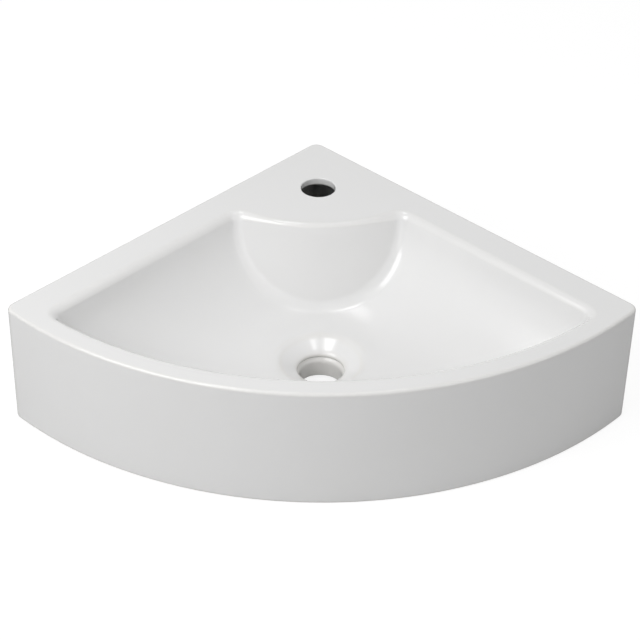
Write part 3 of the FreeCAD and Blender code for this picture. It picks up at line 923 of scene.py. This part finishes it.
@dataclass
class WallFixing:
    """One wall plug, hanger bolt, flanged bush, washer and nut, along +Z off the wall face."""

    reach: float = 205.0
    height: float = 49.0
    pad_face: float = 14.0
    bolt_radius: float = 4.0
    embed: float = 50.0
    tail: float = 9.0
    point: float = 6.0
    plug_radius: float = 6.0
    plug_length: float = 55.0
    split: float = 1.6
    split_length: float = 33.0
    sleeve_radius: float = 7.75
    bush_bore: float = 4.3
    setback: float = 1.5
    flange_radius: float = 13.0
    flange: float = 3.0
    washer_radius: float = 12.0
    washer: float = 2.0
    nut_flats: float = 13.0
    nut: float = 6.5
    thread_pitch: float = 1.25
    thread_core: float = 0.75
    wood_pitch: float = 3.0
    wood_core: float = 1.1
    wood_end: float = -4.0
    thread_start: float = 5.0
    waist_depth: float = 0.35

    def __post_init__(self) -> None:
        """Work out how far off the wall flange, washer, nut and bolt end."""
        self.flange_end = self.pad_face + self.flange
        self.washer_end = self.flange_end + self.washer
        self.nut_end = self.washer_end + self.nut
        self.bolt_end = self.nut_end + self.tail

    def _bolt(self) -> Piece:
        """Hanger bolt: coarse thread in the plug, plain waist, fine thread for the nut."""
        radius, end = self.bolt_radius, self.bolt_end
        section: Section = [(0.7, -self.embed), (1.1, -self.embed + 0.4)]
        place = -self.embed + 0.8
        while place < end - 1.2:
            section.append((self._core(place), place))
            if place < self.wood_end:
                place += self.wood_pitch / 10
            else:
                place += 1.0 if place < self.thread_start + 1 else self.thread_pitch / 8
        section += [(radius - self.thread_core, end - 0.4), (radius - 1.2, end)]
        piece = turned("hanger_bolt", section, 28)
        self._cut_thread(piece)
        return piece

    def _core(self, place: float) -> float:
        """Radius of the bolt's core at a height."""
        full = self.bolt_radius - (self.wood_core if place < self.wood_end else self.thread_core)
        share = min(1.0, (place + self.embed) / self.point)
        return 1.0 + (full - 1.0) * share

    def _cut_thread(self, piece: Piece) -> None:
        """Raise both threads on the turned bolt."""
        for corner in piece.data.vertices:
            x, y, z = corner.co / MM
            out = math.hypot(x, y)
            if out < 0.9 or z > self.bolt_end - 1.0 or z < -self.embed + 0.6:
                continue
            coarse = z < self.wood_end
            if not coarse and z < self.thread_start:
                corner.co.xy *= (self.bolt_radius - self.waist_depth) / out
                continue
            pitch = self.wood_pitch if coarse else self.thread_pitch
            phase = (z / pitch - math.atan2(y, x) / math.tau) % 1
            ridge = max(0.0, 1 - abs(phase - 0.5) * (4.2 if coarse else 2.2))
            crest = out + ridge * ((self.wood_core if coarse else self.thread_core) - 0.05)
            corner.co.xy *= min(crest, self.bolt_radius - 0.03) / out

    def _plug(self) -> Piece:
        """Ribbed plug, split from its far end."""
        radius, bore = self.plug_radius, self.bolt_radius + 0.2
        section: Section = [(bore, -0.05), (radius - 0.1, -0.05), (radius - 0.1, -1.2)]
        place = -2.0
        while place > -self.plug_length + 6:
            section += [(radius - 0.05, place), (radius - 0.05, place - 1.6),
                        (radius - 0.55, place - 2.2), (radius - 0.55, place - 3.4)]
            place -= 4.0
        section += [(radius - 0.2, -self.plug_length + 2.5), (radius - 1.6, -self.plug_length + 0.1),
                    (1.2, -self.plug_length + 0.1), (1.2, -self.plug_length + 3.5),
                    (bore, -self.embed - 0.1)]
        piece = turned("wall_plug", section, 32, hollow=True)
        clear_selection()
        bpy.ops.mesh.primitive_cube_add(size=1, location=(0, 0, 0))
        tool = bpy.context.object
        tool.scale = (self.split * MM, 3 * radius * MM, self.split_length * MM)
        tool.location = (0, 0, (-self.plug_length + self.split_length / 2 - 1) * MM)
        settle(tool)
        cut(piece, tool)
        return piece

    def _bush(self) -> Piece:
        """Sleeve through the china with a flange on its pad."""
        bore, sleeve, wide = self.bush_bore, self.sleeve_radius, self.flange_radius
        face, top = self.pad_face, self.flange_end
        section = [(bore, self.setback + 0.3), (bore + 0.3, self.setback),
                   (sleeve - 0.6, self.setback), (sleeve, self.setback + 0.8), (sleeve, face + 0.02),
                   (wide - 0.3, face + 0.02), *arc((wide - 0.7, top - 0.9), 0.7, 0, 90, 4),
                   (bore + 0.4, top - 0.2), (bore, top - 0.5)]
        return turned("flanged_bush", section, 48, hollow=True)

    def _washer(self) -> Piece:
        """Stamped washer, rolled over on one edge."""
        bore, wide = self.bush_bore, self.washer_radius
        low, top = self.flange_end, self.washer_end
        section = [(bore + 0.15, low), (wide - 0.1, low), (wide, low + 0.2),
                   *arc((wide - 0.6, top - 0.6), 0.6, 0, 90, 4),
                   *arc((bore + 0.35, top - 0.35), 0.35, 90, 180, 3), (bore, low + 0.2)]
        return turned("washer", section, 56, hollow=True)

    def _nut(self) -> Piece:
        """Hexagon nut, chamfered on both faces and threaded."""
        low, top = self.washer_end, self.nut_end
        corner = self.nut_flats / math.sqrt(3)
        clear_selection()
        bpy.ops.mesh.primitive_cylinder_add(vertices=6, radius=corner * MM, depth=self.nut * MM,
                                            location=(0, 0, (low + top) / 2 * MM))
        piece = bpy.context.object
        piece.name = piece.data.name = "hex_nut"
        settle(piece)
        flat = self.nut_flats / 2
        blank = [(flat * 0.96, low), (corner + 0.3, low + 0.75), (corner + 0.3, top - 0.75),
                 (flat * 0.96, top)]
        cut(piece, turned("nut_blank", blank, 72), Cut.INSIDE)
        bore = self.bolt_radius + 0.06
        drill: Section = [(bore + 0.9, low - 0.5), (bore + 0.4, low), (bore, low + 0.45),
                          (bore, top - 0.45), (bore + 0.4, top), (bore + 0.9, top + 0.5)]
        cut(piece, turned("nut_drill", drill, 48))
        return piece

    def build(self, nylon: Material, grey: Material, zinc: Material) -> None:
        """Model each piece once and set a copy of it in each wall.

        Args:
            nylon: Finish of the bush.
            grey: Finish of the plug.
            zinc: Finish of bolt, washer and nut.
        """
        for blank, node, material, slot in (
                (self._plug(), "wall_plugs", grey, "grey_nylon"),
                (self._bolt(), "hanger_bolts", zinc, "zinc_steel"),
                (self._bush(), "flanged_bushes", nylon, "white_nylon"),
                (self._washer(), "washers", zinc, "zinc_steel"),
                (self._nut(), "hex_nuts", zinc, "zinc_steel")):
            dress(blank, material, 30)
            for side in Side:
                piece = blank.copy()
                piece.data = blank.data.copy()
                bpy.context.collection.objects.link(piece)
                piece.name = piece.data.name = f"{side.name.lower()}_{blank.name}"
                piece.matrix_world = wall_place(side, self.reach, self.height)
                settle(piece)
                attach(piece, "root")
                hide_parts(node)
                log.info("%s: %d faces", piece.name, len(piece.data.polygons))
            bpy.data.objects.remove(blank, do_unlink=True)


# --- studio ---


@dataclass(frozen=True)
class SoftBox:
    """One rectangular lamp: its place and size in metres, and its power in watts."""

    name: str
    spot: tuple[float, float, float]
    size: tuple[float, float]
    power: float

    def hang(self, aim: Sequence[float]) -> None:
        """Hang the lamp.

        Args:
            aim: The point that it faces.
        """
        data = bpy.data.lights.new(self.name, "AREA")
        data.shape, data.energy = "RECTANGLE", self.power
        data.size, data.size_y = self.size
        lamp = bpy.data.objects.new(self.name, data)
        bpy.context.collection.objects.link(lamp)
        lamp.location = self.spot
        lamp.rotation_euler = (Vector(aim) - lamp.location).to_track_quat("-Z", "Y").to_euler()


@dataclass
class Studio:
    """Floor, lamps, white surround and the camera at the photograph's angle, in metres and degrees."""

    target: tuple[float, float, float] = (-0.0037, -0.1013, 0.127)
    distance: float = 1.838
    elevation: float = 36.24
    yaw: float = -2.12
    roll: float = 1.25
    lens: float = 111.9
    surround: float = 0.452
    floor_size: float = 14.0
    floor_tone: float = 0.56
    veil_share: float = 0.6
    veil_strength: float = 1.42
    lamps: tuple[SoftBox, ...] = (
        SoftBox("key_left", (-0.95, -0.82, 1.22), (1.15, 1.0), 12.2),
        SoftBox("fill_right", (2.0, -1.7, 1.3), (1.6, 1.2), 4.0),
        SoftBox("fill_front", (-0.5, -2.8, 0.9), (1.2, 0.8), 2.0),
        SoftBox("glint_left", (-0.37, 0.1, 2.2), (0.45, 0.45), 3.6),
        SoftBox("glint_right", (0.36, 0.1, 2.2), (0.25, 0.25), 0.9))
    lamp_aim: tuple[float, float, float] = (0.0, -0.02, 0.06)

    def camera(self) -> None:
        """Place the camera."""
        up_angle, turn = math.radians(self.elevation), math.radians(self.yaw)
        back = Vector((math.sin(turn) * math.cos(up_angle), -math.cos(turn) * math.cos(up_angle),
                       math.sin(up_angle)))
        right = (-back).cross(Vector((0, 0, 1))).normalized()
        up = right.cross(-back)
        c, s = math.cos(math.radians(self.roll)), math.sin(math.radians(self.roll))
        right, up = c * right + s * up, -s * right + c * up
        data = bpy.data.cameras.new("viewpoint")
        data.lens, data.sensor_width = self.lens, 36.0
        data.clip_start, data.clip_end = 0.05, 50.0
        camera = bpy.data.objects.new("viewpoint", data)
        bpy.context.collection.objects.link(camera)
        made = Matrix((right, up, back)).transposed().to_4x4()
        made.translation = Vector(self.target) + back * self.distance
        camera.matrix_world = made
        bpy.context.scene.camera = camera

    def floor(self) -> None:
        """Lay the pale floor, white to the camera except where the basin shades it."""
        clear_selection()
        bpy.ops.mesh.primitive_plane_add(size=self.floor_size, location=(0, 0, -0.0005))
        plane = bpy.context.object
        plane.name = "studio_floor"
        made = bpy.data.materials.new("pale_floor")
        made.use_nodes = True
        w = Wiring(made.node_tree)
        shader = made.node_tree.nodes["Principled BSDF"]
        w.feed(shader, {"Base Color": (*(self.floor_tone,) * 3, 1), "Roughness": 0.9,
                        "Specular IOR Level": 0.1})
        glow = w.node("ShaderNodeEmission", {"Color": (1, 1, 1, 1), "Strength": self.veil_strength})
        seen = w.node("ShaderNodeLightPath").outputs["Is Camera Ray"]
        veil = w.node("ShaderNodeMixShader", {0: w.math("MULTIPLY", seen, self.veil_share),
                                              1: shader.outputs[0], 2: glow.outputs[0]})
        w.feed(made.node_tree.nodes["Material Output"], {"Surface": veil.outputs[0]})
        plane.data.materials.append(made)

    def sky(self) -> None:
        """Light the scene evenly from a white surround."""
        world = bpy.data.worlds.new("surround")
        bpy.context.scene.world = world
        world.use_nodes = True
        w = Wiring(world.node_tree)
        path = w.node("ShaderNodeLightPath").outputs
        seen = w.math("MAXIMUM", path["Is Camera Ray"], path["Is Transmission Ray"])
        seen = w.math("MAXIMUM", seen, path["Is Glossy Ray"])
        w.feed(world.node_tree.nodes["Background"],
               {"Color": (1, 1, 1, 1), "Strength": w.between(seen, self.surround, 1.0)})

    def build(self) -> None:
        """Set up floor, lamps, surround and camera."""
        self.floor()
        self.sky()
        for lamp in self.lamps:
            lamp.hang(self.lamp_aim)
        self.camera()


def main() -> None:
    """Build the dressed basin in order."""
    logging.basicConfig(level=logging.INFO, format="%(name)s: %(message)s")
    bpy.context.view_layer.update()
    bpy.context.scene.view_settings.view_transform = "Standard"
    effects = Effects()
    glaze = Glaze("white_glaze", (0.872, 0.871, 0.868), (0.858, 0.856, 0.850), drift=9.0,
                  amount=0.5, roughness=0.22, swing=0.04, long=14.0, fine=420.0,
                  fine_share=0.012, bump=0.12, reach=0.0012)
    nylon = Plain("white_nylon", (0.83, 0.82, 0.78), (0.76, 0.75, 0.70), drift=120.0,
                  roughness=0.42, fine=2200.0, long=200.0, bump=0.12, reach=0.0002)
    grey = Plain("grey_nylon", (0.36, 0.37, 0.38), (0.30, 0.31, 0.32), drift=120.0,
                 roughness=0.48, fine=2200.0, long=200.0, bump=0.15, reach=0.0002)
    zinc = Plain("zinc_steel", (0.66, 0.66, 0.63), (0.55, 0.56, 0.55), drift=150.0,
                 roughness=0.30, swing=0.08, fine=3000.0, long=300.0, bump=0.1, reach=0.0001,
                 metallic=1.0)
    Casting().build(glaze.material(effects))
    WallFixing().build(nylon.material(effects), grey.material(effects), zinc.material(effects))
    Studio().build()


if __name__ == "__main__":
    main()
